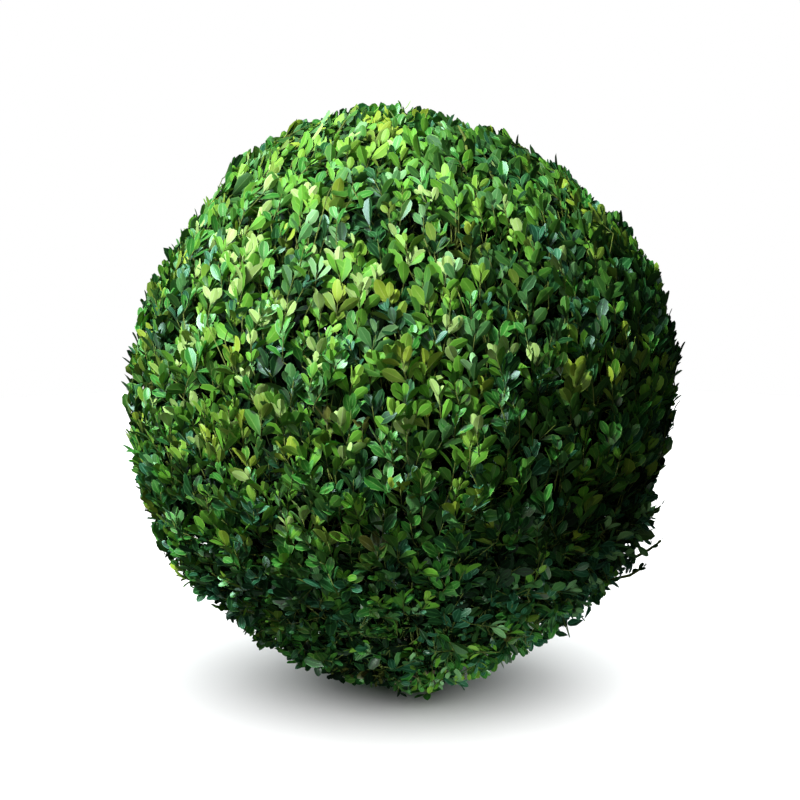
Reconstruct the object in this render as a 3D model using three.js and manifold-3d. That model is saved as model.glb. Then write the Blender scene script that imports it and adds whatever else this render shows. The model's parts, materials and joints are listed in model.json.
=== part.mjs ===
// Box topiary ball: one clipped ball of box foliage, a little taller than it is wide, on the short
// stem that its own leaves hide. The shrub is rooted, so the stem ends in a flat cut at the ground.
//
// Millimetres, +Z up. The origin is the middle of that cut. The ball's front faces -Y.

import * as THREE from "three";
import { ImprovedNoise } from "three/addons/math/ImprovedNoise.js";
import { mergeVertices } from "three/addons/utils/BufferGeometryUtils.js";
import Module from "manifold-3d";

// Crown: the clipped mass, out to the tips of its leaves.
const CROWN_WIDTH = 500;
const CROWN_HEIGHT = 528;
const CROWN_LIFT = 4; // from the ground up to the lowest leaves
const CROWN_DETAIL = 18; // new points along each edge of the icosahedron

// What the shears left: broad flats and swellings, each a soft bump of the stated height, centred on
// a bearing (0 is +X, 90 is +Y) and an elevation, and reaching about its spread, all in degrees.
const BROAD_SHAPE = [
  { name: "right shoulder", bearing: 0, elevation: 60, spread: 34, height: -19 },
  { name: "right flank", bearing: -6, elevation: -6, spread: 22, height: -16 },
  { name: "right haunch", bearing: -10, elevation: -37, spread: 16, height: -8 },
  { name: "right hem", bearing: -10, elevation: -68, spread: 16, height: -7 },
  { name: "left shoulder", bearing: 180, elevation: 40, spread: 22, height: -9 },
  { name: "left haunch", bearing: 180, elevation: -30, spread: 30, height: 11 },
  { name: "front hem", bearing: -105, elevation: -68, spread: 20, height: 8 },
  { name: "back shoulder", bearing: 70, elevation: 38, spread: 26, height: -9 },
  { name: "back haunch", bearing: 115, elevation: -25, spread: 28, height: 5 },
];

// Skirt: a cap of looser growth low on the right, which stands proud behind a shaded crease.
const SKIRT_AXIS = new THREE.Vector3(0.51, -0.2, -0.84).normalize();
const SKIRT_RADIUS = 40; // degrees from its axis out to the crease
const SKIRT_RISE = 6;
const CREASE_DEPTH = 8;
const CREASE_SPREAD = 4; // degrees

// Unevenness: clumps of shoots, and the smaller tufts on them.
const CLUMP_SIZE = 110;
const CLUMP_RELIEF = 5;
const TUFT_SIZE = 38;
const TUFT_RELIEF = 9;

// Stem: from the flat cut at the ground to its fork, with a root flare in five ribs.
const STEM_HEIGHT = 96;
const STEM_RADIUS = 15;
const FLARE_RADIUS = 25;
const FLARE_HEIGHT = 20; // the height at which the flare has shrunk to about a third
const FORK_RADIUS = 19;
const RIB_COUNT = 5;
const RIB_RELIEF = 0.12; // share of the flare's radius
const STEM_LEAN = 6; // sideways shift of the fork, towards +X
const STEM_SIDES = 30;
const STEM_STEPS = 12;

const POCKET_GAP = 0.6; // between the stem and the crown that is cut round it

const wasm = await Module();
wasm.setup();
const noise = new ImprovedNoise();

// A closed three.js geometry as a manifold-3d solid.
function solidOf(geometry) {
  const bare = geometry.clone();
  bare.deleteAttribute("normal");
  bare.deleteAttribute("uv");
  const merged = mergeVertices(bare, 1e-3);
  return new wasm.Manifold(
    new wasm.Mesh({
      numProp: 3,
      vertProperties: merged.getAttribute("position").array,
      triVerts: new Uint32Array(merged.index.array),
    }),
  );
}

// A manifold-3d solid as a flat-shaded three.js geometry.
function geometryOf(solid) {
  const { vertProperties, triVerts } = solid.getMesh();
  const geometry = new THREE.BufferGeometry();
  geometry.setAttribute("position", new THREE.BufferAttribute(vertProperties, 3));
  geometry.setIndex(new THREE.BufferAttribute(triVerts, 1));
  const faceted = geometry.toNonIndexed();
  faceted.computeVertexNormals();
  return faceted;
}

// Moves every vertex of a geometry to where place(vertex) puts it.
function reshape(geometry, place) {
  const position = geometry.getAttribute("position");
  const vertex = new THREE.Vector3();
  for (let i = 0; i < position.count; i++) {
    vertex.fromBufferAttribute(position, i);
    place(vertex);
    position.setXYZ(i, vertex.x, vertex.y, vertex.z);
  }
  return geometry;
}

const degreesBetween = (a, b) => THREE.MathUtils.radToDeg(a.angleTo(b));

const softBump = (angle, spread) => Math.exp(-((angle / spread) ** 2));

function bearingVector(bearing, elevation) {
  const polar = THREE.MathUtils.degToRad(90 - elevation);
  const turn = THREE.MathUtils.degToRad(bearing);
  return new THREE.Vector3(
    Math.sin(polar) * Math.cos(turn),
    Math.sin(polar) * Math.sin(turn),
    Math.cos(polar),
  );
}

// How far the broad flats and swellings move the surface in a direction.
function broadShape(direction) {
  return BROAD_SHAPE.reduce((sum, { bearing, elevation, spread, height }) => {
    const angle = degreesBetween(direction, bearingVector(bearing, elevation));
    return sum + height * softBump(angle, spread);
  }, 0);
}

// The skirt's rise, which fades towards its middle, and the crease round its rim.
function skirtShape(direction) {
  const inside = SKIRT_RADIUS - degreesBetween(direction, SKIRT_AXIS);
  const crease = -CREASE_DEPTH * softBump(inside, CREASE_SPREAD);
  const lip = inside > 0 ? SKIRT_RISE * softBump(inside - 2 * CREASE_SPREAD, 3 * CREASE_SPREAD) : 0;
  return crease + lip;
}

function unevenness(point) {
  const clump = noise.noise(...point.clone().divideScalar(CLUMP_SIZE));
  const tuft = noise.noise(...point.clone().divideScalar(TUFT_SIZE));
  return CLUMP_RELIEF * clump + TUFT_RELIEF * tuft;
}

// The clipped mass before the stem's pocket is cut, centred over the origin.
function crownSolid() {
  const half = new THREE.Vector3(CROWN_WIDTH, CROWN_WIDTH, CROWN_HEIGHT).divideScalar(2);
  const middle = CROWN_LIFT + half.z;
  const ball = new THREE.IcosahedronGeometry(1, CROWN_DETAIL);
  reshape(ball, (vertex) => {
    const direction = vertex.clone().normalize();
    const onBall = vertex.multiply(half);
    const relief = broadShape(direction) + skirtShape(direction) + unevenness(onBall);
    onBall.addScaledVector(direction, relief);
    onBall.z = Math.max(onBall.z + middle, CROWN_LIFT);
  });
  return solidOf(ball);
}

// The stem's centre line at a height, and its radius there before the ribs.
const leanAt = (height) => STEM_LEAN * (height / STEM_HEIGHT) ** 2;

function stemRadius(height) {
  const flare = (FLARE_RADIUS - STEM_RADIUS) * Math.exp(-height / FLARE_HEIGHT);
  const swelling = (FORK_RADIUS - STEM_RADIUS) * (height / STEM_HEIGHT) ** 3;
  return STEM_RADIUS + flare + swelling;
}

// The stem as a lathed outline with a domed head, then ribbed and leant. grow is added all round.
function stemSolid(grow = 0) {
  const outline = [new THREE.Vector2(0, 0)];
  for (let step = 0; step <= STEM_STEPS; step++) {
    const height = (STEM_HEIGHT * step) / STEM_STEPS;
    outline.push(new THREE.Vector2(stemRadius(height) + grow, height));
  }
  const head = outline.at(-1).x;
  for (const degrees of [30, 60]) {
    const angle = THREE.MathUtils.degToRad(degrees);
    outline.push(new THREE.Vector2(head * Math.cos(angle), STEM_HEIGHT + (head / 2) * Math.sin(angle)));
  }
  outline.push(new THREE.Vector2(0, STEM_HEIGHT + head / 2));

  const lathed = new THREE.LatheGeometry(outline, STEM_SIDES).rotateX(Math.PI / 2);
  return solidOf(
    reshape(lathed, (vertex) => {
      const turn = Math.atan2(vertex.y, vertex.x);
      const rib = RIB_RELIEF * Math.cos(RIB_COUNT * turn) * Math.exp(-vertex.z / FLARE_HEIGHT);
      vertex.x = vertex.x * (1 + rib) + leanAt(vertex.z);
      vertex.y *= 1 + rib;
    }),
  );
}

function namedMesh(name, solid, material) {
  const mesh = new THREE.Mesh(geometryOf(solid), material);
  mesh.name = name;
  return mesh;
}

const foliage = new THREE.MeshStandardMaterial({ color: 0x3f6b25, roughness: 0.6, metalness: 0 });
const bark = new THREE.MeshStandardMaterial({ color: 0x8a7c62, roughness: 0.85, metalness: 0 });

const topiaryBall = new THREE.Group();
topiaryBall.add(
  namedMesh("crown", crownSolid().subtract(stemSolid(POCKET_GAP)), foliage),
  namedMesh("stem", stemSolid(), bark),
);

export default topiaryBall;
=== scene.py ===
"""Box topiary ball: bark, twigs and leaves grown from the stem out to the clipped surface.

A seeded branching rule forks the stem into boughs, branches, branchlets and leafy shoots, level by
level. The shoots are swept up the ball as clipping and light leave them, and each carries opposite
pairs of leaves. Everything is in metres, +Z up, and the front faces -Y.
"""

import json
import math
from collections import namedtuple

import bmesh
import bpy
import numpy as np
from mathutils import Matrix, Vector, noise
from mathutils.bvhtree import BVHTree

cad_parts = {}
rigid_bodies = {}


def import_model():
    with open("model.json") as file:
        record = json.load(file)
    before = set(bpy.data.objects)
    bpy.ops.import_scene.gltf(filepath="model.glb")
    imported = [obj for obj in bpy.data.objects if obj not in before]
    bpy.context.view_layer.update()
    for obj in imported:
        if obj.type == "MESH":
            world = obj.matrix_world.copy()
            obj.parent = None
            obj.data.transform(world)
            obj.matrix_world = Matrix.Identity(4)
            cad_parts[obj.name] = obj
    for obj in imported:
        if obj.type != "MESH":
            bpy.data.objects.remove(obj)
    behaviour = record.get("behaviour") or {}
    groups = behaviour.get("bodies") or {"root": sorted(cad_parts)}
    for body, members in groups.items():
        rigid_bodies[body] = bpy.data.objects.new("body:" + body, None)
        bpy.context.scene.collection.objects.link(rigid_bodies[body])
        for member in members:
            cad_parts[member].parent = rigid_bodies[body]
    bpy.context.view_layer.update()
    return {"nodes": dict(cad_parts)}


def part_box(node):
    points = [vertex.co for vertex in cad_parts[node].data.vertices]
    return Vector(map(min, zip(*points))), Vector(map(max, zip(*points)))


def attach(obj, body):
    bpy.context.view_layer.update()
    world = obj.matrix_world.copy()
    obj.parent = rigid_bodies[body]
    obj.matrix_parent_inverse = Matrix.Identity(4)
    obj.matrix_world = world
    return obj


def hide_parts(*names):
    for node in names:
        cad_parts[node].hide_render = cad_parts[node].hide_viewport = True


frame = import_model()

SEED = 41
UP = np.array([0.0, 0.0, 1.0])

# ---------------------------------------------------------------- the clipped surface

CROWN_LOW, CROWN_HIGH = (np.array(corner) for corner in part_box("crown"))
STEM_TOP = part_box("stem")[1][2]
MIDDLE = np.array([0.0, 0.0, (CROWN_LOW[2] + CROWN_HIGH[2]) / 2])
HALF = (CROWN_HIGH - CROWN_LOW) / 2


def unit(vectors):
    return vectors / np.linalg.norm(vectors, axis=-1, keepdims=True)


def dot(a, b):
    return (a * b).sum(-1, keepdims=True)


def fade(values, start, span):
    """0 up to a start, then rising evenly to 1 over a span."""
    return np.clip((values - start) / span, 0, 1)


def angle_from(directions, axis):
    return np.arccos(np.clip(directions @ axis, -1, 1))


# The skirt: looser growth low on the right, inside a cap of the ball with this axis and radius.
SKIRT_AXIS = unit(np.array([0.51, -0.20, -0.84]))
SKIRT_RADIUS = math.radians(40)


def surface_tree():
    mesh = frame["nodes"]["crown"].data
    points = [vertex.co.copy() for vertex in mesh.vertices]
    return BVHTree.FromPolygons(points, [tuple(face.vertices) for face in mesh.polygons])


CLIPPED = surface_tree()


def reach(directions):
    """How far the clipped surface is from the middle of the ball in each direction."""
    middle = Vector(MIDDLE)
    found = np.empty(len(directions))
    for i, direction in enumerate(directions):
        outside = middle + Vector(direction)
        hit = CLIPPED.ray_cast(outside, -Vector(direction))[0]
        found[i] = (hit - middle).length
    return found


def lattice(rng, count, jitter):
    """Directions spread evenly over the ball, each then moved by a share of their spacing."""
    step = np.arange(count) + 0.5
    rise = 1 - 2 * step / count
    turn = step * math.pi * (3 - math.sqrt(5))
    flat = np.sqrt(1 - rise * rise)
    even = np.stack([flat * np.cos(turn), flat * np.sin(turn), rise], 1)
    spacing = math.sqrt(4 * math.pi / count)
    return unit(even + rng.normal(0, jitter * spacing, even.shape))


def skirt_depth(directions):
    """Radians from the skirt's rim: above 0 inside the skirt."""
    return SKIRT_RADIUS - angle_from(directions, SKIRT_AXIS)


# ---------------------------------------------------------------- the branching rule

BOUGHS, BRANCHES, BRANCHLETS, SHOOTS = 13, 70, 430, 2450
INNER_SHOOTS, DEEP_SHOOTS = 1300, 1300
LOW_LINE = -0.35  # more shoots are needed below this share of the ball's radius under its middle
LOWEST_LIMB, LOWEST_SHOOT = -0.93, -0.994  # shares too: the stem itself stands below
LIMB_CLEARANCE = 0.02  # least height of a limb's tip above the ground
INNER_DEPTH, DEEP_DEPTH = 0.016, 0.044  # how far below the clipped surface their leaf tips lie
LEVEL_REACH = {"boughs": 0.42, "branches": 0.66, "branchlets": 0.83}  # share of the way to the surface
REACH_SCATTER = 0.04
LIMB_LIFT, LIMB_WANDER = 0.35, 0.2  # how far a limb's end turns up, and sideways at random
OUTER_ROOT, INNER_ROOT, DEEP_ROOT = 0.045, 0.030, 0.018  # from a shoot's tip back to its start
SHOOT_FOOT = 0.002  # straight twig behind a shoot's last leaves
TWIG_RADIUS = 0.00055
PIPE_POWER = 0.42  # a limb's radius grows with the number of shoots that it feeds to this power


class Limbs:
    """A level of limbs as cubic curves: ends is (limbs, 4 control points, 3)."""

    def __init__(self, ends, parent):
        self.ends = ends
        self.parent = parent
        self.feeds = np.ones(len(ends))

    def at(self, which, t):
        a, b, c, d = np.moveaxis(self.ends[which], -2, 0)
        t = np.asarray(t)[..., None]
        return (1 - t) ** 3 * a + 3 * t * (1 - t) ** 2 * b + 3 * t * t * (1 - t) * c + t**3 * d

    def heading(self, which, t):
        a, b, c, d = np.moveaxis(self.ends[which], -2, 0)
        t = np.asarray(t)[..., None]
        return unit((1 - t) ** 2 * (b - a) + 2 * t * (1 - t) * (c - b) + t * t * (d - c))

    def radius(self):
        return TWIG_RADIUS * self.feeds**PIPE_POWER


def grow(rng, parents, tips, headings, bend=0.36, fork_from=0.55):
    """One limb to each tip from the parent whose end is nearest, leaving it along its own line."""
    parent_tips = parents.ends[:, 3]
    gap = np.linalg.norm(tips[:, None] - parent_tips[None], axis=2)
    parent = gap.argmin(1)
    at = rng.uniform(fork_from, 1.0, len(tips))
    start = parents.at(parent, at)
    leave = parents.heading(parent, at)
    length = np.linalg.norm(tips - start, axis=1, keepdims=True)
    along = unit(tips - start)
    leave = unit(leave + 0.9 * along)
    ends = np.stack([start, start + bend * length * leave, tips - bend * length * headings, tips], 1)
    return Limbs(ends, parent)


def level(rng, parents, count, share, jitter=0.3):
    """A level of bare limbs whose tips lie at a share of the way to the clipped surface."""
    directions = lattice(rng, count, jitter)
    directions = directions[directions[:, 2] > LOWEST_LIMB]
    depth = share * rng.normal(1, REACH_SCATTER, len(directions))
    tips = MIDDLE + directions * (reach(directions) * depth)[:, None]
    tips[:, 2] = np.maximum(tips[:, 2], LIMB_CLEARANCE)
    wander = rng.normal(0, LIMB_WANDER, directions.shape)
    headings = unit(directions + LIMB_LIFT * UP + wander)
    return grow(rng, parents, tips, headings)


# ---------------------------------------------------------------- leafy shoots

LEAF_LENGTH = 0.0197
LEAF_WIDTH = 0.47  # share of its length
NODE_DEPTHS = np.array([0.0006, 0.0058, 0.0120, 0.0190])  # from the tip back
NODE_LENGTHS = np.array([0.70, 0.94, 1.03, 1.04])  # share of the leaf's length
NODE_ANGLES = np.radians([24, 31, 38, 46])  # leaf to twig
NODE_GRADES = np.array([0, 0, 2, 2])  # the row of LEAF_STATIONS that shapes each node's leaves
INNER_GRADE, DEEP_GRADE = 3, 4
LEAF_GAP = 0.0008  # from the middle of the twig to the leaf's foot
LONGEST_TIP = 0.0035  # a leaf that stands further than this past its neighbours is cut off
LAID_FLAT = 0.45  # share of a leaf's outward lean that clipping and crowding take away
OVERSHOOT = -0.0020  # below 0, so all but a shoot's foremost leaf tip stop short of the surface
LEFT_FULLNESS = 0.0030  # how much further the looser left side reaches
GROUND_CLEARANCE = 0.006
HANGING_EDGE = 0.3 * LEAF_LENGTH * LEAF_WIDTH  # how far a leaf's edge may hang below its midrib

PITCH_SCATTER = math.radians(8)
YAW_SCATTER = math.radians(12)
ROLL_SCATTER = math.radians(27)
FACING, FACING_SCATTER, FACING_MOST = 0.70, 0.19, 0.97  # how far a blade turns its face outwards
LENGTH_SCATTER, WIDTH_SCATTER, VIGOUR_SCATTER = 0.14, 0.08, 0.07  # shares of their means
YOUNG_SHARE, YOUNG_LOSS = 0.3, 0.26  # how many shoots are young, and how much smaller their leaves are
INSIDE_OUT_SHARE = 0.60  # of the shoots show the undersides of their leaves
MISSING_SHARE = 0.05  # of the leaves have dropped or been cut off
SLACK = 0.0017  # how unevenly the shoots were clipped
SMALLER_LOW, SMALLER_IN_SKIRT = 0.12, 0.12  # share by which leaves are shorter there


def swept(normals, rng, looseness):
    """The way each shoot grows: out of the ball and up it, except on the head and in the skirt."""
    up_slope = UP - normals * normals[:, 2:3]
    steep = np.linalg.norm(up_slope, axis=1, keepdims=True)
    up_slope = up_slope / np.maximum(steep, 1e-6)
    off_head = fade(steep, 0, 0.35)  # 0 on top of the ball, where there is no slope to follow
    low = fade(-normals[:, 2:3], 0.35, 0.4)  # 1 near the ground, where growth is looser
    skirt = fade(skirt_depth(normals)[:, None], 0, 0.1)
    sweep = off_head * (1 - 0.55 * low) * (1 - 0.85 * skirt)
    outwards = 0.30 + 0.5 * (1 - sweep)
    scatter = looseness * (0.19 + 0.16 * low + 0.12 * skirt)
    stray = rng.normal(0, 1, normals.shape) * scatter
    return unit(outwards * normals + 0.95 * sweep * up_slope + stray), up_slope


class Sprays:
    """Every leaf of a layer of shoots, as arrays over (shoot, node, side)."""

    def __init__(self, rng, directions, nodes=len(NODE_DEPTHS), looseness=1.0):
        self.directions = directions
        self.nodes = nodes
        count = len(directions)
        self.normals = unit(directions / HALF)
        self.heading, self.up_slope = swept(self.normals, rng, looseness)
        self.spin = rng.uniform(0, 2 * math.pi, count)
        vigour = rng.normal(1, VIGOUR_SCATTER, count)
        vigour = vigour - YOUNG_LOSS * (rng.random(count) < YOUNG_SHARE)
        self.inside_out = rng.random(count) < INSIDE_OUT_SHARE
        shape = (count, nodes, 2)
        self.pitch = NODE_ANGLES[None, :nodes, None] + rng.normal(0, PITCH_SCATTER, shape)
        self.yaw = rng.normal(0, YAW_SCATTER, shape)
        self.roll = rng.normal(0, ROLL_SCATTER, shape)
        self.facing = np.clip(rng.normal(FACING, FACING_SCATTER, shape), 0.0, FACING_MOST)
        node_length = LEAF_LENGTH * NODE_LENGTHS[None, :nodes, None]
        self.length = node_length * rng.normal(1, LENGTH_SCATTER, shape) * vigour[:, None, None]
        self.width = LEAF_WIDTH * rng.normal(1, WIDTH_SCATTER, shape)
        self.shape = rng.integers(0, 1 << 16, shape)
        self.missing = rng.random(shape) < MISSING_SHARE
        self.slack = rng.normal(0, SLACK, count)
        low = fade(-self.normals[:, 2], 0.3, 0.5)
        skirt = fade(skirt_depth(self.normals), 0, 0.1)
        self.length *= (1 - SMALLER_LOW * low - SMALLER_IN_SKIRT * skirt)[:, None, None]

    def place(self, tips):
        """Leaf bases, and the along, across and upward axes of each leaf."""
        heading = self.heading
        side = unit(np.cross(heading, self.normals + 0.01 * UP))
        front = np.cross(side, heading)
        nodes = tips[:, None] - heading[:, None] * NODE_DEPTHS[None, : self.nodes, None]
        quarter = np.arange(self.nodes) * math.pi / 2
        turn = self.spin[:, None, None] + quarter[None, :, None] + np.array([0, math.pi]) + self.yaw
        turn_cos, turn_sin = np.cos(turn)[..., None], np.sin(turn)[..., None]
        radial = turn_cos * side[:, None, None] + turn_sin * front[:, None, None]
        axis = heading[:, None, None]
        cos, sin = np.cos(self.pitch)[..., None], np.sin(self.pitch)[..., None]
        along = cos * axis + sin * radial
        normals = self.normals[:, None, None]
        proud = np.maximum(dot(along, normals), 0)
        along = unit(along - LAID_FLAT * proud * normals)
        upper = sin * axis - cos * radial
        shown = np.where(self.inside_out, -1.0, 1.0)[:, None]
        wanted = unit(shown * self.normals + 0.35 * self.up_slope)[:, None, None]
        upper = (1 - self.facing)[..., None] * upper + self.facing[..., None] * wanted
        upper = unit(upper - dot(upper, along) * along)
        across = np.cross(upper, along)
        roll_cos, roll_sin = np.cos(self.roll)[..., None], np.sin(self.roll)[..., None]
        upper, across = roll_cos * upper + roll_sin * across, roll_cos * across - roll_sin * upper
        base = nodes[:, :, None] + LEAF_GAP * along
        return base, along, across, upper

    def settle(self, depth=0.0):
        """Draws each shoot in until its leaf tips reach a depth below the clipped surface.

        A negative depth leaves them proud of it. The result is the leaves that are there, in one row
        each, with the number of the spray that each belongs to.
        """
        surface = MIDDLE + self.directions * reach(self.directions)[:, None]
        base, along, _, _ = self.place(surface)
        ends = base + along * self.length[..., None]
        offset = ends - MIDDLE
        limit = reach(unit(offset).reshape(-1, 3)).reshape(offset.shape[:-1])
        excess = np.linalg.norm(offset, axis=-1) - limit
        excess[self.missing] = -1  # metres, so a missing leaf is never the foremost
        proud = np.sort(excess.reshape(len(excess), -1), axis=1)[:, -2]
        self.missing |= excess > proud[:, None, None] + LONGEST_TIP
        fuller = LEFT_FULLNESS * np.clip(-self.directions[:, 0], 0, 1)
        draw_in = proud + depth - OVERSHOOT - fuller - self.slack
        self.tips = surface - self.normals * draw_in[:, None]
        base, along, across, upper = self.place(self.tips)
        ends = base + along * self.length[..., None]
        lowest = np.minimum(base, ends)[..., 2].min((1, 2)) - HANGING_EDGE
        lift = np.maximum(GROUND_CLEARANCE - lowest, 0)
        self.tips[:, 2] += lift
        base[..., 2] += lift[:, None, None]
        kept = ~self.missing
        grade = np.broadcast_to(NODE_GRADES[None, : self.nodes, None], kept.shape)
        if np.max(depth) > 0:
            grade = np.full(kept.shape, INNER_GRADE if depth < DEEP_DEPTH else DEEP_GRADE)
        spray = np.broadcast_to(np.arange(len(kept))[:, None, None], kept.shape)
        return {
            "base": base[kept],
            "along": along[kept],
            "across": across[kept],
            "upper": upper[kept],
            "length": self.length[kept],
            "width": self.width[kept],
            "shape": (self.shape % len(LEAF_SHAPES))[kept],
            "grade": grade[kept],
            "spray": spray[kept],
        }


STRAYS = [  # shoots the shears missed: bearing, elevation, how proud each stands, size of its leaves
    (-3, -24, 0.013, 0.50),
    (-6, -30, 0.014, 0.46),
    (-9, -36, 0.015, 0.62),
    (-2, 8, 0.009, 1.05),
    (-60, 72, 0.006, 0.45),
    (-128, 70, 0.006, 0.50),
    (150, 5, 0.010, 0.45),
    (75, 30, 0.010, 0.50),
]


def stray_shoots(rng):
    """The few shoots that stand past the clipped surface, most of them small-leaved."""
    bearing, elevation, _, size = np.array(STRAYS).T
    turn, rise = np.radians(bearing), np.radians(elevation)
    directions = np.stack([np.cos(rise) * np.cos(turn), np.cos(rise) * np.sin(turn), np.sin(rise)], 1)
    strays = Sprays(rng, directions, nodes=3)
    strays.heading = unit(0.4 * strays.normals + 0.92 * strays.up_slope)
    strays.length *= size[:, None, None]
    return strays


# ---------------------------------------------------------------- one leaf

LEAF_SHAPES = [  # fold along the midrib, arch along its length, notch at the tip, creased midrib
    (0.18, 0.10, 0.030, True),
    (0.10, 0.22, 0.000, False),
    (0.24, 0.04, 0.040, True),
    (0.15, -0.14, 0.010, False),
    (0.08, 0.28, 0.000, False),
    (0.20, 0.16, 0.035, False),
]
FOOT = 0.09  # the narrow stalk's share of the leaf's length
LEAF_STATIONS = [  # where a leaf's cross lines lie along it, from the finest leaf to the plainest
    (0.12, 0.29, 0.52, 0.76, 0.92),
    (0.15, 0.36, 0.64, 0.89),
    (0.28, 0.58, 0.87),
    (0.38, 0.80),
    (0.60,),
]
BLADE_THICKNESS = 0.022  # at the midrib, as a share of the leaf's length
FOLD_RISE = 1.6  # how steeply a fold of 1 lifts the margins
UNDER = 1  # the material slot of the underside; the upper face has slot 0
MERGE = 1e-5  # points closer than this share of the leaf are one
ON_MIDRIB = 1e-6

# The leaf's own map: the upper face in the left half and the underside in the right half.
MAP_MIDDLE, MAP_HALF_WIDTH = 0.25, 0.23
MAP_FOOT, MAP_LENGTH = 0.02, 0.96


def half_width(x):
    """Half the width of an oval leaf at a share of its length: narrow at its foot, round at its tip."""
    u = max(x - FOOT, 0) / (1 - FOOT)
    return 0.5 * math.sin(math.pi * u**1.18) ** (0.8 - 0.28 * u)


def joins_both_sides(edge):
    """Whether an edge of a leaf lies between its upper face and its underside."""
    return len({face.material_index for face in edge.link_faces}) > 1


def leaf_template(stations, fold, arch, notch, creased):
    """A leaf of length 1 along X and width 1 across Y: its points, triangles, sides and map."""
    steps = (0.0, *stations, 1.0)
    last = len(steps) - 1
    bm = bmesh.new()
    bmesh.ops.create_grid(bm, x_segments=last, y_segments=2, size=1)
    for vertex in bm.verts:
        row = round((vertex.co.x + 1) / 2 * last)
        x = steps[row]
        half = half_width(x) if 0 < row < last else 0
        across = vertex.co.y * half
        if row == last:
            x -= notch
        rise = fold * LEAF_WIDTH * abs(across) * FOLD_RISE
        vertex.co = (x, across, rise - arch * x * x)
    bmesh.ops.remove_doubles(bm, verts=bm.verts, dist=MERGE)
    bm.normal_update()
    if sum(face.normal.z for face in bm.faces) < 0:
        bmesh.ops.reverse_faces(bm, faces=bm.faces)
    twin = bmesh.ops.duplicate(bm, geom=list(bm.verts) + list(bm.edges) + list(bm.faces))["geom"]
    under_faces = [item for item in twin if isinstance(item, bmesh.types.BMFace)]
    bmesh.ops.reverse_faces(bm, faces=under_faces)
    for face in under_faces:
        face.material_index = UNDER
    under_points = [item for item in twin if isinstance(item, bmesh.types.BMVert)]
    rib = [v for v in under_points if abs(v.co.y) < ON_MIDRIB and 0.01 < v.co.x < 0.94]
    bmesh.ops.translate(bm, verts=rib, vec=(0, 0, -BLADE_THICKNESS))
    bmesh.ops.remove_doubles(bm, verts=bm.verts, dist=MERGE)
    bmesh.ops.triangulate(bm, faces=bm.faces)
    bm.verts.index_update()
    points = np.array([vertex.co for vertex in bm.verts])
    triangles = np.array([[v.index for v in face.verts] for face in bm.faces])
    sides = np.array([face.material_index for face in bm.faces])
    rim = np.array([any(joins_both_sides(edge) for edge in v.link_edges) for v in bm.verts])
    bm.free()
    on_midrib = np.abs(points[:, 1]) < ON_MIDRIB
    lateral = np.where(on_midrib, 0, np.sign(np.round(points[:, 1], 6)))
    map_x = MAP_MIDDLE + MAP_HALF_WIDTH * lateral
    map_y = MAP_FOOT + MAP_LENGTH * np.clip(points[:, 0], 0, 1)
    uv = np.stack([map_x, map_y], 1)[triangles]
    uv[sides == UNDER, :, 0] += 0.5
    return {
        "points": points,
        "triangles": triangles,
        "sides": sides,
        "uv": uv,
        "rim": rim,
        "crease": on_midrib & creased,
    }


TEMPLATES = [[leaf_template(stations, *shape) for shape in LEAF_SHAPES] for stations in LEAF_STATIONS]


# ---------------------------------------------------------------- meshes from arrays


def linked(name, data):
    """A new object that carries a mesh, lamp or camera, sitting at the origin."""
    made = bpy.data.objects.new(name, data)
    bpy.context.scene.collection.objects.link(made)
    return made


def new_piece(name, points, triangles, materials, sides=None, uv=None):
    """One mesh object from arrays of points and triangles."""
    mesh = bpy.data.meshes.new(name)
    mesh.vertices.add(len(points))
    mesh.vertices.foreach_set("co", np.ascontiguousarray(points, np.float32).ravel())
    mesh.loops.add(triangles.size)
    mesh.loops.foreach_set("vertex_index", np.ascontiguousarray(triangles, np.int32).ravel())
    mesh.polygons.add(len(triangles))
    mesh.polygons.foreach_set("loop_start", np.arange(0, triangles.size, 3, dtype=np.int32))
    for material in materials:
        mesh.materials.append(material)
    if sides is not None:
        mesh.polygons.foreach_set("material_index", np.ascontiguousarray(sides, np.int32))
    mesh.polygons.foreach_set("use_smooth", np.full(len(triangles), True))
    if uv is not None:
        layer = mesh.uv_layers.new(name="OFBake")
        layer.uv.foreach_set("vector", np.ascontiguousarray(uv, np.float32).ravel())
    mesh.update(calc_edges=True)
    mesh.validate()
    return linked(name, mesh)


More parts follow.
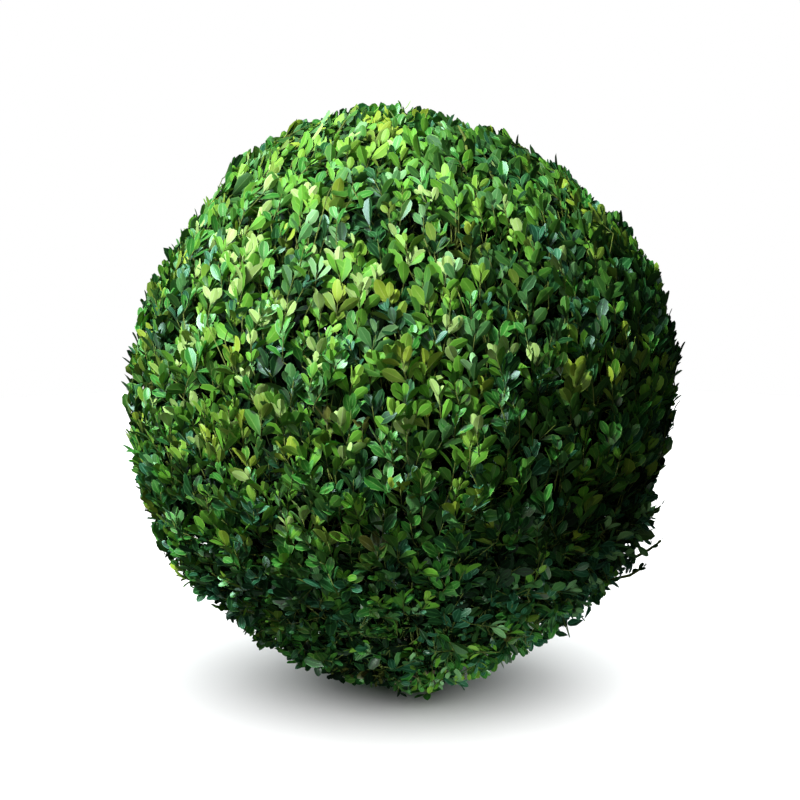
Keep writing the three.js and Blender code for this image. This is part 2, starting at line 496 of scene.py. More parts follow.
def leaves_piece(name, leaves, chosen, materials):
    """The chosen leaves joined into one piece, sharp only round their rims and along some midribs."""
    parts = {"points": [], "triangles": [], "sides": [], "uv": [], "rim": [], "crease": []}
    filled = 0
    for grade, templates in enumerate(TEMPLATES):
        for number, template in enumerate(templates):
            mine = chosen[(leaves["grade"][chosen] == grade) & (leaves["shape"][chosen] == number)]
            if not len(mine):
                continue
            length = leaves["length"][mine, None, None]
            width = leaves["width"][mine, None, None]
            x, y, z = (template["points"][None, :, k, None] for k in range(3))
            points = leaves["base"][mine, None] + length * (
                x * leaves["along"][mine, None]
                + y * width * leaves["across"][mine, None]
                + z * leaves["upper"][mine, None]
            )
            corners = template["triangles"][None] + np.arange(len(mine))[:, None, None] * points.shape[1]
            parts["points"].append(points.reshape(-1, 3))
            parts["triangles"].append(corners.reshape(-1, 3) + filled)
            parts["sides"].append(np.tile(template["sides"], len(mine)))
            parts["uv"].append(np.tile(template["uv"], (len(mine), 1, 1)).reshape(-1, 2))
            parts["rim"].append(np.tile(template["rim"], len(mine)))
            parts["crease"].append(np.tile(template["crease"], len(mine)))
            filled += points.shape[0] * points.shape[1]
    whole = {key: np.concatenate(value) for key, value in parts.items()}
    piece = new_piece(name, whole["points"], whole["triangles"], materials, whole["sides"], whole["uv"])
    mesh = piece.data
    edges = np.empty(len(mesh.edges) * 2, np.int32)
    mesh.edges.foreach_get("vertices", edges)
    pairs = edges.reshape(-1, 2)
    sharp = whole["rim"][pairs].all(1) | whole["crease"][pairs].all(1)
    mesh.attributes.new("sharp_edge", "BOOLEAN", "EDGE").data.foreach_set("value", sharp)
    return piece


def tubes(limbs, radius, tip_share, steps, sides):
    """Tapering closed tubes along every limb of a level, as points and triangles.

    tip_share is the radius at the tip as a share of the radius at the foot, and steps is the number
    of rings.
    """
    count = len(limbs.ends)
    which = np.repeat(np.arange(count)[:, None], steps, 1)
    t = np.tile(np.linspace(0, 1, steps), (count, 1))
    line, heading = limbs.at(which, t), limbs.heading(which, t)
    chord = unit(limbs.ends[:, 3] - limbs.ends[:, 0])
    upright = np.abs(chord[:, 2:3]) > 0.8
    helper = np.where(upright, np.array([[1.0, 0.0, 0.0]]), UP[None])  # never along the limb
    one = unit(np.cross(heading, helper[:, None]))
    two = np.cross(heading, one)
    taper = radius[:, None] * (1 - (1 - tip_share) * t)
    angle = np.arange(sides) * 2 * math.pi / sides
    ring = np.cos(angle)[:, None] * one[:, :, None] + np.sin(angle)[:, None] * two[:, :, None]
    rings = line[:, :, None] + taper[:, :, None, None] * ring
    points = np.concatenate([rings.reshape(count, -1, 3), line[:, :1], line[:, -1:]], 1)
    k, row = np.meshgrid(np.arange(sides), np.arange(steps - 1))
    k, row = k.ravel(), row.ravel()
    after = (k + 1) % sides
    a, b = row * sides + k, row * sides + after
    c, d = b + sides, a + sides
    walls = np.concatenate([np.stack([a, b, c], 1), np.stack([a, c, d], 1)])
    k = np.arange(sides)
    after = (k + 1) % sides
    foot_middle = np.full(sides, steps * sides)
    last = (steps - 1) * sides
    foot_cap = np.stack([after, k, foot_middle], 1)
    tip_cap = np.stack([last + k, last + after, foot_middle + 1], 1)
    one_tube = np.concatenate([walls, foot_cap, tip_cap])
    triangles = one_tube[None] + (np.arange(count) * points.shape[1])[:, None, None]
    return points.reshape(-1, 3), triangles.reshape(-1, 3)


def joined(groups):
    """Several (points, triangles) as one."""
    offsets = np.cumsum([0] + [len(points) for points, _ in groups])
    points = np.concatenate([points for points, _ in groups])
    triangles = np.concatenate([tri + offset for (_, tri), offset in zip(groups, offsets)])
    return points, triangles


# ---------------------------------------------------------------- materials


def linear(hex_colour):
    """An sRGB colour such as "5f9c2f" as linear RGBA."""
    values = [int(hex_colour[i : i + 2], 16) / 255 for i in (0, 2, 4)]
    return tuple(v / 12.92 if v <= 0.04045 else ((v + 0.055) / 1.055) ** 2.4 for v in values) + (1.0,)


class Nodes:
    """Short ways to add and join the nodes of a material or a group."""

    def __init__(self, tree):
        self.tree = tree

    def add(self, kind, **values):
        node = self.tree.nodes.new(kind)
        for name, value in values.items():
            setattr(node, name, value)
        return node

    def join(self, source, target):
        self.tree.links.new(source, target)

    def put(self, value, socket):
        if hasattr(value, "is_linked"):
            self.join(value, socket)
        else:
            socket.default_value = value

    def math(self, operation, *values):
        node = self.add("ShaderNodeMath", operation=operation)
        for value, socket in zip(values, node.inputs):
            self.put(value, socket)
        return node.outputs[0]

    def ramp(self, value, low, high, to_low=0.0, to_high=1.0):
        node = self.add("ShaderNodeMapRange", interpolation_type="SMOOTHSTEP", clamp=True)
        for v, socket in zip((value, low, high, to_low, to_high), node.inputs):
            self.put(v, socket)
        return node.outputs[0]

    def mix(self, share, a, b, blend="MIX"):
        node = self.add("ShaderNodeMix", data_type="RGBA", blend_type=blend)
        self.put(share, node.inputs["Factor"])
        self.put(a, node.inputs[6])
        self.put(b, node.inputs[7])
        return node.outputs[2]


def markings_group(name, colours, strengths):
    """A node group that takes colours and numbers and puts out a Color and a Height."""
    group = bpy.data.node_groups.new(name, "ShaderNodeTree")
    for colour in colours:
        group.interface.new_socket(name=colour, in_out="INPUT", socket_type="NodeSocketColor")
    for strength in strengths:
        group.interface.new_socket(name=strength, in_out="INPUT", socket_type="NodeSocketFloat")
    group.interface.new_socket(name="Color", in_out="OUTPUT", socket_type="NodeSocketColor")
    group.interface.new_socket(name="Height", in_out="OUTPUT", socket_type="NodeSocketFloat")
    n = Nodes(group)
    return group, n, n.add("NodeGroupInput"), n.add("NodeGroupOutput")


def leaf_markings():
    """Midrib, side veins and margin of a blade, from the leaf's own map, with painted shade at its foot.
    """
    strengths = ("Rib Strength", "Vein Strength", "Margin Strength")
    group, n, inside, outside = markings_group("leaf markings", ("Blade", "Rib", "Margin"), strengths)
    place = n.add("ShaderNodeUVMap", uv_map="OFBake")
    split = n.add("ShaderNodeSeparateXYZ")
    n.join(place.outputs[0], split.inputs[0])
    tile = n.math("FRACT", n.math("MULTIPLY", split.outputs[0], 2.0))
    off_rib = n.math("DIVIDE", n.math("SUBTRACT", tile, 0.5), 2 * MAP_HALF_WIDTH)
    across = n.math("ABSOLUTE", off_rib)  # 0 on the midrib, 1 at the margin
    along = split.outputs[1]
    rib = n.math("MULTIPLY", n.ramp(across, 0.16, 0.04), n.ramp(along, 1.0, 0.5, 0.25, 1.0))
    slant = n.math("SUBTRACT", n.math("MULTIPLY", along, 52.0), n.math("MULTIPLY", across, 13.0))
    wave = n.math("ADD", n.math("MULTIPLY", n.math("SINE", slant), 0.5), 0.5)
    vein = n.math("MULTIPLY", wave, n.ramp(across, 1.0, 0.1))
    vein_share = n.math("MULTIPLY", vein, inside.outputs["Vein Strength"])
    rib_share = n.math("MULTIPLY", rib, inside.outputs["Rib Strength"])
    # The pale margin is partly the leaf's own edge and partly a painted highlight where light catches
    # it.
    margin = n.math("MULTIPLY", n.ramp(across, 0.80, 0.92), inside.outputs["Margin Strength"])
    colour = n.mix(vein_share, inside.outputs["Blade"], inside.outputs["Rib"])
    colour = n.mix(margin, colour, inside.outputs["Margin"])
    colour = n.mix(rib_share, colour, inside.outputs["Rib"])
    # Painted shade: each blade darkens towards its foot, where the leaves shade one another.
    colour = n.mix(1.0, colour, n.ramp(along, 0.02, 0.45, 0.42, 1.0), "MULTIPLY")
    n.join(colour, outside.inputs["Color"])
    n.join(n.math("ADD", rib, n.math("MULTIPLY", vein, 0.22)), outside.inputs["Height"])
    return group


def bark_markings():
    """Upright plates of bark in two tones, with cracks between them."""
    group, n, inside, outside = markings_group("bark markings", ("Bark", "Crack"), ("Scale",))
    place = n.add("ShaderNodeTexCoord")
    stretch = n.add("ShaderNodeMapping")
    stretch.inputs["Scale"].default_value = (1, 1, 0.35)
    n.join(place.outputs["Object"], stretch.inputs[0])
    coarse = n.add("ShaderNodeTexNoise")
    coarse.inputs["Detail"].default_value = 5
    n.join(stretch.outputs[0], coarse.inputs["Vector"])
    n.join(inside.outputs["Scale"], coarse.inputs["Scale"])
    cells = n.add("ShaderNodeTexVoronoi", feature="DISTANCE_TO_EDGE")
    n.join(stretch.outputs[0], cells.inputs["Vector"])
    n.join(inside.outputs["Scale"], cells.inputs["Scale"])
    crack = n.ramp(cells.outputs["Distance"], 0.12, 0.0)
    crack = n.math("MULTIPLY", crack, n.ramp(coarse.outputs[0], 0.3, 0.7))
    tone = n.mix(n.ramp(coarse.outputs[0], 0.25, 0.8), inside.outputs["Crack"], inside.outputs["Bark"])
    n.join(n.mix(crack, tone, inside.outputs["Crack"]), outside.inputs["Color"])
    n.join(n.math("SUBTRACT", coarse.outputs[0], crack), outside.inputs["Height"])
    return group


LEAF_MARKINGS = leaf_markings()
BARK_MARKINGS = bark_markings()
BLADE_BUMP = 0.35
BLADE_RELIEF = 0.0004  # height of the ribs and veins


def surface_material(name, group, values, roughness, bump, depth, **sockets):
    """A material whose colour and relief come from a markings group with these values."""
    material = bpy.data.materials.new(name)
    material.use_nodes = True
    n = Nodes(material.node_tree)
    shader = material.node_tree.nodes["Principled BSDF"]
    marks = n.add("ShaderNodeGroup", node_tree=group)
    for key, value in values.items():
        marks.inputs[key].default_value = value
    relief = n.add("ShaderNodeBump")
    relief.inputs["Strength"].default_value = bump
    relief.inputs["Distance"].default_value = depth
    n.join(marks.outputs["Height"], relief.inputs["Height"])
    n.join(marks.outputs["Color"], shader.inputs["Base Color"])
    n.join(relief.outputs[0], shader.inputs["Normal"])
    shader.inputs["Roughness"].default_value = roughness
    for key, value in sockets.items():
        shader.inputs[key.replace("_", " ")].default_value = value
    return material


def blade_values(blade, rib, strengths):
    """The markings' values for one face of a leaf; strengths are of its rib, veins and margin."""
    return {
        "Blade": linear(blade),
        "Rib": linear(rib),
        "Margin": linear(rib),
        "Rib Strength": strengths[0],
        "Vein Strength": strengths[1],
        "Margin Strength": strengths[2],
    }


def leaf_materials(tint):
    """The glossy upper face and the matt underside of one tint of leaf, duller in the painted shade
    inside.
    """
    shaded = tint.name in SHADED
    specular = 0.2 if shaded else 0.5
    upper = surface_material(
        f"{tint.name} leaf, upper face",
        LEAF_MARKINGS,
        blade_values(tint.upper, tint.upper_rib, (0.7, 0.16, 0.65)),
        roughness=0.55 if shaded else 0.37,
        bump=BLADE_BUMP,
        depth=BLADE_RELIEF,
        Specular_IOR_Level=specular,
        Coat_Weight=0.0 if shaded else 0.3,
        Coat_Roughness=0.26,
    )
    under = surface_material(
        f"{tint.name} leaf, underside",
        LEAF_MARKINGS,
        blade_values(tint.under, tint.under_rib, (0.5, 0.10, 0.45)),
        roughness=0.55,
        bump=BLADE_BUMP,
        depth=BLADE_RELIEF,
        Specular_IOR_Level=specular,
    )
    return [upper, under]


# Each tint has a name, the darker tint of its older leaves further back on the shoot (partly their
# age, partly painted shade), and the colours of the upper face, the ribs on it, the underside and
# the ribs on that.
Tint = namedtuple("Tint", "name older upper upper_rib under under_rib")
# Partly lit and shaded copies of one leaf colour: the first, palest tint is paled by painted light and
# sheen, and the shade, inner and core tints are painted shade.
TINTS = [
    Tint("bright", "grass", "5ca654", "b4d8a2", "a8cc72", "c8dcaa"),
    Tint("fresh", "grass", "3a8630", "8dc46c", "80b43a", "b0d46c"),
    Tint("grass", "deep", "2a7327", "7ab45e", "5ea02c", "98c758"),
    Tint("lime", "olive", "427f20", "99bf58", "92b032", "bccc6a"),
    Tint("olive", "deep", "30601e", "7c9652", "6c8e2e", "a2b258"),
    Tint("deep", "shade", "184e20", "5c9860", "427c28", "7ca850"),
    Tint("bluish", "shade", "1c5236", "64a080", "4b8446", "88b878"),
    Tint("teal", "bluish", "3a7858", "98ccae", "7cb274", "b6daa6"),
    Tint("shade", "shade", "113719", "437542", "2d5b20", "608a42"),
    Tint("inner", "inner", "0b2611", "2f5631", "1d3d16", "456832"),
    Tint("core_shade", "core_shade", "07170a", "1c3a1e", "10250e", "2a4420"),
    Tint("dried", "olive", "40441a", "74743f", "5c6226", "868a4a"),
]
TINT = {tint.name: i for i, tint in enumerate(TINTS)}
SHADED = ("inner", "core_shade")  # leaves deep in the ball, which the light hardly reaches: tints of painted shade
YELLOW = ("bright", "lime", "fresh", "olive")
DARK = ("olive", "deep", "bluish", "shade")
LIT_SIDE = unit(np.array([-0.31, -0.78, 0.54]))
SHADE_SIDE = unit(np.array([0.79, -0.47, 0.37]))
LIT_HEM, HEM_SPREAD = unit(np.array([0.17, -0.42, -0.89])), 0.34  # painted light low in front
BARE, BARE_SPREAD = unit(np.array([-0.17, -0.36, -0.92])), 0.13  # a small browned patch beside it
CREASE_OFFSET, CREASE_SPREAD = 0.07, 0.09  # the band of painted shade just outside the skirt, in radians


def soft_noise(points, size, offset=0.0):
    """Smooth noise of a given size, from about -1 to 1."""
    return np.array([noise.noise(Vector(p / size) + Vector((offset, 0, 0))) for p in points])


def soft_spot(distance, spread):
    """1 at no distance, fading out over a spread."""
    return np.exp(-((distance / spread) ** 2))


def deal_tints(rng, sprays):
    """The number of a tint for each spray, drawn by weights that change over the ball.

    Painted light and shade: yellower where it is lit and low in front; darker on the side turned from
    the light, along the crease and low down, where it is bluer too. Bluer and paler in the skirt:
    partly its own colour, partly painted light.
    """
    at = sprays.directions
    # Painted light and shade: yellow tints gather where the light falls, dark ones on the far side.
    lit = np.clip(at @ LIT_SIDE, 0, 1) ** 5
    shade_side = np.clip(at @ SHADE_SIDE, 0, 1) ** 2
    # Painted light low in front, which also takes away some painted shade low down and in the skirt.
    hem = soft_spot(angle_from(at, LIT_HEM), HEM_SPREAD)
    # The skirt's blue-green is partly its own colour, partly painted light that pales it.
    skirt = fade(skirt_depth(at), 0, 0.04) * (1 - 0.85 * hem)
    # Painted shade along the crease just outside the skirt.
    crease = soft_spot(skirt_depth(at) + CREASE_OFFSET, CREASE_SPREAD)
    bare = soft_spot(angle_from(at, BARE), BARE_SPREAD)
    # Painted shade low down, under the ball: darker, bluer tints.
    low = fade(-at[:, 2], 0.15, 0.6) * (1 - 0.8 * hem)
    patch = soft_noise(sprays.tips, 0.045) + 0.8 * soft_noise(sprays.tips, 0.10, 3.1)
    hue = soft_noise(sprays.tips, 0.03, 7.3)
    deep = np.clip(0.20 - 0.15 * patch, 0.04, 1) + 0.12 * low + 0.18 * shade_side
    weights = {
        "bright": np.clip(0.06 + 0.80 * lit + 0.25 * patch, 0, 1) * (1 - low),
        "fresh": np.clip(0.24 + 0.20 * lit + 0.15 * patch, 0.04, 1) * (1 - 0.6 * low),
        "grass": (0.22 + 0.10 * low) * (1 - 0.8 * skirt),
        "lime": np.clip(0.16 + 0.20 * hue, 0.02, 1) * (1 - 0.7 * low),
        "olive": np.clip(0.12 - 0.10 * lit + 0.22 * hue, 0.02, 1),
        "deep": deep * (1 - 0.7 * skirt),
        "bluish": np.clip(0.14 - 0.12 * hue, 0.02, 1) + 0.10 * low + 0.8 * skirt,
        "teal": 0.08 + 0.45 * skirt,
        "shade": 0.08 + 0.22 * low * (1 - skirt) + 0.22 * shade_side,
        "inner": np.zeros(len(at)),
        "core_shade": np.zeros(len(at)),
        "dried": np.full(len(at), 0.006),
    }
    for name in YELLOW:
        weights[name] *= (1 - 0.95 * skirt) * (1 - 0.55 * shade_side)
    for name in DARK:
        weights[name] *= 1 - 0.5 * lit
    # painted light low in front
    weights["fresh"] += 0.5 * hem
    for name in weights:
        weights[name] *= 1 - 0.82 * crease
    # painted shade along the crease: the darkest tints
    weights["inner"] += 0.35 * crease
    weights["core_shade"] += 0.35 * crease
    for name in weights:
        weights[name] *= 1 - 0.85 * bare
    # The bare patch: painted shade where the inside shows, and browned leaves.
    weights["core_shade"] += 0.3 * bare
    weights["dried"] += 0.4 * bare
    edges = np.cumsum([weights[tint.name] for tint in TINTS], 0).T
    draw = rng.random(len(at)) * edges[:, -1]
    return (draw[:, None] > edges).sum(1)


# ---------------------------------------------------------------- the stem and its bark

STEM_DOME = 0.0095  # height of its rounded head
STEM_RADIUS = 0.0146
STEM_FLARE, FLARE_HEIGHT = 0.0098, 0.020  # the root flare, and the height where it is a third as wide
FORK_SWELLING = 0.004
STEM_LEAN = 0.006  # sideways shift of the fork, towards +X
RIBS, RIB_RELIEF = 5, 0.12
STEM_RINGS, STEM_SIDES = 60, 72
FORK_DEPTH = 0.012  # the boughs start this far below the stem's top
BARK_GRAIN = 0.0045  # size of the ridges on boughs and branches
BARK_HEIGHT, BARK_SHARE = 0.0007, 0.16  # their height, at most this share of half a limb's radius


def bark_relief(point, turn):
    """Height of the bark at a point of the stem: upright ridges, broken into plates."""
    ridge = noise.noise(Vector((math.cos(turn) * 4, math.sin(turn) * 4, point.z * 22)))
    plate = noise.noise(Vector((point.x * 300, point.y * 300, point.z * 90)))
    return 0.0007 * ridge + 0.0004 * plate


def stem_piece():
    """The stem: a lathed outline with a root flare, ribbed, leant and given its bark."""
    height = STEM_TOP - STEM_DOME
    bm = bmesh.new()

    def radius(z):
        flare = STEM_FLARE * math.exp(-z / FLARE_HEIGHT)
        return STEM_RADIUS + flare + FORK_SWELLING * (z / height) ** 3

    outline = [bm.verts.new((radius(z), 0, z)) for z in np.linspace(0, height, STEM_RINGS)]
    head = radius(height)
    for degrees in (18, 36, 54, 72):
        angle = math.radians(degrees)
        outline.append(bm.verts.new((head * math.cos(angle), 0, height + head / 2 * math.sin(angle))))
    edges = [bm.edges.new(pair) for pair in zip(outline, outline[1:])]
    bmesh.ops.spin(
        bm,
        geom=outline + edges,
        cent=(0, 0, 0),
        axis=(0, 0, 1),
        angle=2 * math.pi,
        steps=STEM_SIDES,
        use_merge=True,
    )
    bmesh.ops.remove_doubles(bm, verts=bm.verts, dist=1e-6)
    bmesh.ops.holes_fill(bm, edges=[edge for edge in bm.edges if edge.is_boundary], sides=0)
    bmesh.ops.recalc_face_normals(bm, faces=bm.faces)
    for vertex in bm.verts:
        x, y, z = vertex.co
        turn = math.atan2(y, x)
        rib = RIB_RELIEF * math.cos(RIBS * turn) * math.exp(-z / FLARE_HEIGHT)
        raised = bark_relief(vertex.co, turn) / max(math.hypot(x, y), 0.004)
        scale = 1 + rib + raised
        vertex.co.x = x * scale + STEM_LEAN * (z / height) ** 2
        vertex.co.y = y * scale
    mesh = bpy.data.meshes.new("stem_bark")
    bm.to_mesh(mesh)
    bm.free()
    mesh.polygons.foreach_set("use_smooth", np.full(len(mesh.polygons), True))
    mesh.materials.append(BARK)
    return linked("stem_bark", mesh)


def ridged(limbs, radius, tip_share, steps, sides):
    """Tubes with the bark's ridges raised on them, each point moved straight out from its line."""
    points, triangles = tubes(limbs, radius, tip_share, steps, sides)
    smooth, _ = tubes(limbs, radius * 0.5, tip_share, steps, sides)
    out = points - smooth
    size = np.linalg.norm(out, axis=1, keepdims=True)
    out = out / np.maximum(size, 1e-9)
    height = soft_noise(points * np.array([1.0, 1.0, 0.4]), BARK_GRAIN)[:, None]
    return points + out * height * np.minimum(BARK_SHARE * size, BARK_HEIGHT), triangles


# ---------------------------------------------------------------- growing the plant

rng = np.random.default_rng(SEED)

BARK = surface_material(
    "grey-brown bark",
    BARK_MARKINGS,
    {"Bark": linear("9a8b70"), "Crack": linear("4e4232"), "Scale": 170.0},
    roughness=0.85,
    bump=0.6,
    depth=0.0008,
)
YOUNG_BARK = surface_material(
    "green-brown twig bark",
    BARK_MARKINGS,
    {"Bark": linear("7d8f3c"), "Crack": linear("55602c"), "Scale": 420.0},
    roughness=0.7,
    bump=0.3,
    depth=0.0003,
)

stem_head = np.array([STEM_LEAN, 0.0, STEM_TOP - FORK_DEPTH])
stem_lower, stem_upper = [0, 0, stem_head[2] / 3], [STEM_LEAN / 2, 0, stem_head[2] * 2 / 3]
stem_line = np.array([[0, 0, 0], stem_lower, stem_upper, stem_head])
stem_limb = Limbs(stem_line[None], np.array([0]))

boughs = level(rng, stem_limb, BOUGHS, LEVEL_REACH["boughs"])
# All boughs leave the stem's head, each straight towards its own tip at first.
boughs.ends[:, 0] = stem_head + rng.normal(0, 0.003, (len(boughs.ends), 3)) * np.array([1, 1, 0.3])
boughs.ends[:, 1] = boughs.ends[:, 0] + 0.035 * unit(boughs.ends[:, 3] - stem_head + 0.05 * UP)
branches = level(rng, boughs, BRANCHES, LEVEL_REACH["branches"])
branchlets = level(rng, branches, BRANCHLETS, LEVEL_REACH["branchlets"])


def feed(sprays, root_depth):
    """The bare foot of each shoot and its straight leafy end.

    The foot comes from the branchlet that ends nearest to a point root_depth back from the tip.
    """
    roots = sprays.tips - root_depth * sprays.heading
    gap = np.linalg.norm(roots[:, None] - branchlets.ends[None, :, 3], axis=2)
    feeder = gap.argmin(1)
    fork_at = rng.uniform(0.6, 1.0, len(roots))
    start = branchlets.at(feeder, fork_at)
    leave = branchlets.heading(feeder, fork_at)
    leafy = NODE_DEPTHS[sprays.nodes - 1] + SHOOT_FOOT
    knee = sprays.tips - leafy * sprays.heading
    span = np.linalg.norm(knee - start, axis=1, keepdims=True)
    foot = [start, start + 0.3 * span * leave, knee - 0.4 * span * sprays.heading, knee]
    end = [knee + share * leafy * sprays.heading for share in (0, 1 / 3, 2 / 3, 1)]
    return Limbs(np.stack(foot, 1), feeder), Limbs(np.stack(end, 1), feeder)


def spread(count, jitter, low_share=0.0):
    """Directions for shoots over the ball, with a share more of them low down, where light is poor."""
    directions = lattice(rng, count, jitter)
    more = lattice(rng, round(count * low_share), jitter) if low_share else directions[:0]
    directions = np.concatenate([directions, more[more[:, 2] < LOW_LINE]])
    return directions[directions[:, 2] > LOWEST_SHOOT]


outer = Sprays(rng, spread(SHOOTS, 0.28))
outer_leaves = outer.settle()
inner = Sprays(rng, spread(INNER_SHOOTS, 0.4, 0.5), looseness=1.9)
inner_leaves = inner.settle(INNER_DEPTH)
deep = Sprays(rng, spread(DEEP_SHOOTS, 0.4, 0.5), looseness=2.5)
deep.length *= 1.5  # so that a few leaves fill the middle
deep_leaves = deep.settle(DEEP_DEPTH)
strays = stray_shoots(rng)
stray_leaves = strays.settle(-np.array([proud for _, _, proud, _ in STRAYS]))
outer_feet, outer_ends = feed(outer, OUTER_ROOT)
stray_feet, stray_ends = feed(strays, OUTER_ROOT)
inner_feet, inner_ends = feed(inner, INNER_ROOT)
deep_feet, deep_ends = feed(deep, DEEP_ROOT)

branchlets.feeds = np.maximum(np.bincount(outer_feet.parent, outer_feet.feeds, len(branchlets.ends)), 1)
for child, parent in ((branchlets, branches), (branches, boughs)):
    parent.feeds = np.maximum(np.bincount(child.parent, child.feeds, len(parent.ends)), 1)


def twig_radius(limbs, share):
    """The same radius for every twig: a share of the thinnest limb's."""
    return np.full(len(limbs.ends), TWIG_RADIUS * share)


outer_twigs = joined(
    [
        tubes(outer_feet, twig_radius(outer_feet, 1.2), 0.8, 3, 3),
        tubes(outer_ends, twig_radius(outer_ends, 0.96), 0.55, 2, 3),
        tubes(stray_feet, twig_radius(stray_feet, 3.0), 0.85, 4, 5),
        tubes(stray_ends, twig_radius(stray_ends, 2.55), 0.6, 2, 5),
        tubes(branchlets, branchlets.radius(), 0.6, 6, 5),
    ]
)
inner_twigs = joined(
    [
        tubes(inner_feet, twig_radius(inner_feet, 1.2), 0.8, 2, 3),
        tubes(inner_ends, twig_radius(inner_ends, 0.96), 0.55, 2, 3),
        tubes(deep_feet, twig_radius(deep_feet, 1.2), 0.8, 2, 3),
        tubes(deep_ends, twig_radius(deep_ends, 0.96), 0.55, 2, 3),
    ]
)
twigs = new_piece("twigs", *outer_twigs, [YOUNG_BARK])
shaded_twigs = new_piece("inner_twigs", *inner_twigs, [YOUNG_BARK])
branch_bark = new_piece("branch_bark", *ridged(branches, branches.radius(), 0.6, 10, 8), [BARK])
bough_bark = new_piece("bough_bark", *ridged(boughs, boughs.radius(), 0.62, 26, 20), [BARK])
stem_bark = stem_piece()

# ---------------------------------------------------------------- leaves, dealt out by tint

outer_tint = deal_tints(rng, outer)[outer_leaves["spray"]]
# Leaves further back on each shoot take darker tints: partly their age, partly painted shade.
old_and_shaded = outer_leaves["grade"] > 1
outer_tint[old_and_shaded] = np.array([TINT[tint.older] for tint in TINTS])[outer_tint[old_and_shaded]]
# Painted shade: the leaves inside the ball take the darkest tints.
inner_tints = [TINT["inner"], TINT["deep"], TINT["bluish"]]
inner_tint = rng.choice(inner_tints, len(inner.tips), p=[0.6, 0.3, 0.1])[inner_leaves["spray"]]
deep_tint = np.full(len(deep_leaves["spray"]), TINT["core_shade"])
stray_tint = np.full(len(stray_leaves["spray"]), TINT["shade"])
leaf_tint = np.concatenate([outer_tint, inner_tint, deep_tint, stray_tint])
layers = (outer_leaves, inner_leaves, deep_leaves, stray_leaves)
leaves = {key: np.concatenate([layer[key] for layer in layers]) for key in outer_leaves}

pieces = [(piece, "crown", "bark") for piece in (twigs, shaded_twigs, branch_bark, bough_bark)]
pieces.append((stem_bark, "stem", "bark"))
for number, tint in enumerate(TINTS):
    chosen = np.flatnonzero(leaf_tint == number)
    if len(chosen):
        piece = leaves_piece(f"leaves_{tint.name}", leaves, chosen, leaf_materials(tint))
        pieces.append((piece, "crown", "foliage"))

for piece, node, slot in pieces:
    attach(piece, "root")
    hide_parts(node)

# ---------------------------------------------------------------- floor, lights and camera

FLOOR_RADIUS = 1.6


def floor_piece():
    """A pale matt disk that takes the ball's shadow, and neither lights nor shows in the leaves."""
    bm = bmesh.new()
    bmesh.ops.create_circle(bm, cap_ends=True, segments=96, radius=FLOOR_RADIUS)
    mesh = bpy.data.meshes.new("floor")
    bm.to_mesh(mesh)
    bm.free()
    floor = linked("floor", mesh)
    material = bpy.data.materials.new("pale floor")
    material.use_nodes = True
    shader = material.node_tree.nodes["Principled BSDF"]
    shader.inputs["Base Color"].default_value = (0.9, 0.9, 0.9, 1)
    shader.inputs["Roughness"].default_value = 0.9
    shader.inputs["Specular IOR Level"].default_value = 0.1
    mesh.materials.append(material)
    floor.visible_diffuse = False
    floor.visible_glossy = False
    return floor


def lamp(name, kind, energy, place, aim, colour=(1, 1, 1), only=(), **values):
    """A lamp of this many watts at a place, aimed at a point, that lights only the given objects."""
    data = bpy.data.lights.new(name, kind)
    data.energy = energy
    data.color = colour
    for key, value in values.items():
        setattr(data, key, value)
    made = linked(name, data)
    made.location = place
    made.rotation_euler = (Vector(aim) - Vector(place)).to_track_quat("-Z", "Y").to_euler()
    made.visible_camera = False
    lit = bpy.data.collections.new(f"lit by {name}")
    for piece in only:
        lit.objects.link(piece)
    made.light_linking.receiver_collection = lit
    return made


floor = floor_piece()
plant = [piece for piece, _, _ in pieces]
ball = (0, 0, 0.27)  # about the middle of the ball
disk = {"only": plant, "shape": "DISK"}
key = lamp("key", "AREA", 102, (-1.15, -1.25, 2.05), ball, (0.97, 1.0, 0.93), size=0.35, **disk)
lamp("sky panel", "AREA", 20, (-1.1, -0.7, 2.2), ball, (0.75, 0.92, 1.0), size=2.4, **disk)
lamp("front fill", "AREA", 8.5, (-0.6, -2.2, 0.45), ball, (1.0, 1.0, 0.78), size=2.0, **disk)
back = lamp("back light", "AREA", 55, (0.9, 2.0, 1.9), ball, (0.95, 1.0, 0.95), size=0.8, **disk)
gloss = lamp("gloss panel", "AREA", 90, (-1.6, -1.4, 1.7), ball, (0.66, 0.94, 0.90), size=1.2, **disk)
gloss.visible_diffuse = False
for unreflected in (key, back):
    unreflected.visible_glossy = False
hem = lamp("hem fill", "SPOT", 100, (0.3, -2.2, 0.05), (0.03, -0.12, 0.04), (0.85, 1.0, 0.9), plant)
hem.data.spot_size = math.radians(9.5)
hem.data.spot_blend = 1.0
hem.data.shadow_soft_size = 0.04
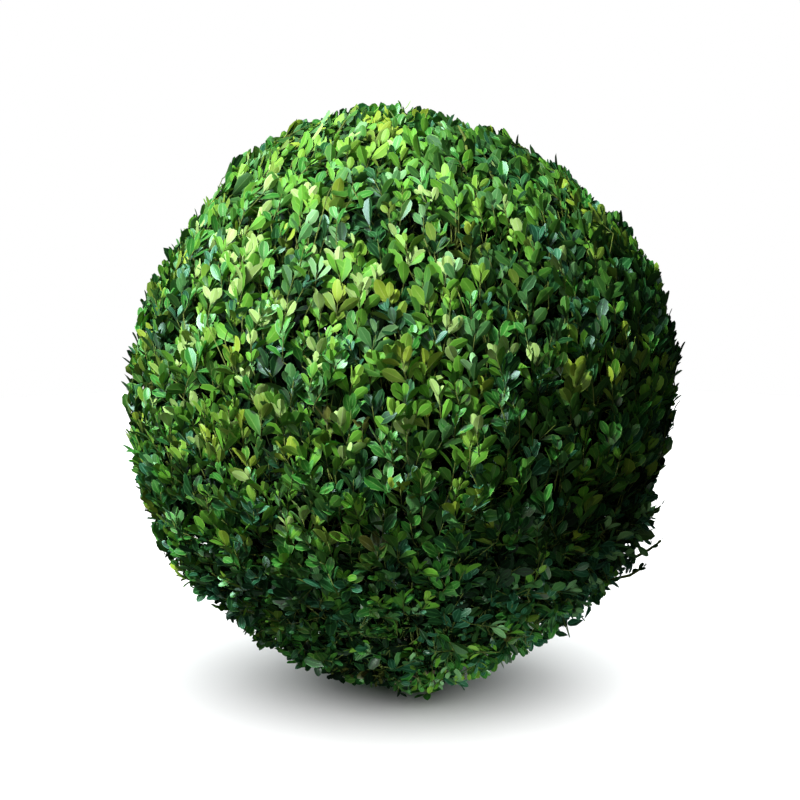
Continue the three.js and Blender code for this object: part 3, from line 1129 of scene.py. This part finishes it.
lamp("overhead", "AREA", 402, (0, -1.1, 1.6), (0, -1.1, 0), only=[floor], shape="DISK", size=8)


def studio_world():
    """A dim cool room behind a white backdrop, with brighter panels for the leaves to reflect."""
    world = bpy.data.worlds.new("studio")
    world.use_nodes = True
    n = Nodes(world.node_tree)
    place = n.add("ShaderNodeTexCoord")
    split = n.add("ShaderNodeSeparateXYZ")
    n.join(place.outputs["Generated"], split.inputs[0])
    high = n.ramp(split.outputs[2], -0.1, 0.8)
    left = n.ramp(split.outputs[0], 0.6, -0.6, 0.25, 1.0)
    ray = n.add("ShaderNodeLightPath")
    front = n.math("MULTIPLY", n.math("ADD", n.math("MULTIPLY", high, left), 0.2), 0.045)
    behind = n.math("MULTIPLY", n.ramp(split.outputs[1], 0.0, 0.9), ray.outputs["Is Diffuse Ray"])
    strength = n.math("MULTIPLY_ADD", behind, 0.35, front)
    dim = world.node_tree.nodes["Background"]
    dim.inputs["Color"].default_value = (0.66, 0.98, 0.95, 1)
    n.join(strength, dim.inputs["Strength"])
    white = n.add("ShaderNodeBackground")
    white.inputs["Strength"].default_value = 1.0
    white.inputs["Color"].default_value = (1, 1, 1, 1)
    mix = n.add("ShaderNodeMixShader")
    n.join(ray.outputs["Is Camera Ray"], mix.inputs[0])
    n.join(dim.outputs[0], mix.inputs[1])
    n.join(white.outputs[0], mix.inputs[2])
    n.join(mix.outputs[0], world.node_tree.nodes["World Output"].inputs["Surface"])
    bpy.context.scene.world = world


studio_world()

CAMERA_RISE = math.radians(10)
CAMERA_DISTANCE = 2.2
aim = Vector((-0.0100, 0, 0.2590))  # a little left of the stem, at about the ball's middle
camera_data = bpy.data.cameras.new("camera")
camera_data.lens = 110
camera_data.sensor_width = 36
camera = linked("camera", camera_data)
camera.location = aim + CAMERA_DISTANCE * Vector((0, -math.cos(CAMERA_RISE), math.sin(CAMERA_RISE)))
camera.rotation_euler = (aim - camera.location).to_track_quat("-Z", "Y").to_euler()
bpy.context.scene.camera = camera
bpy.context.scene.view_settings.view_transform = "Standard"
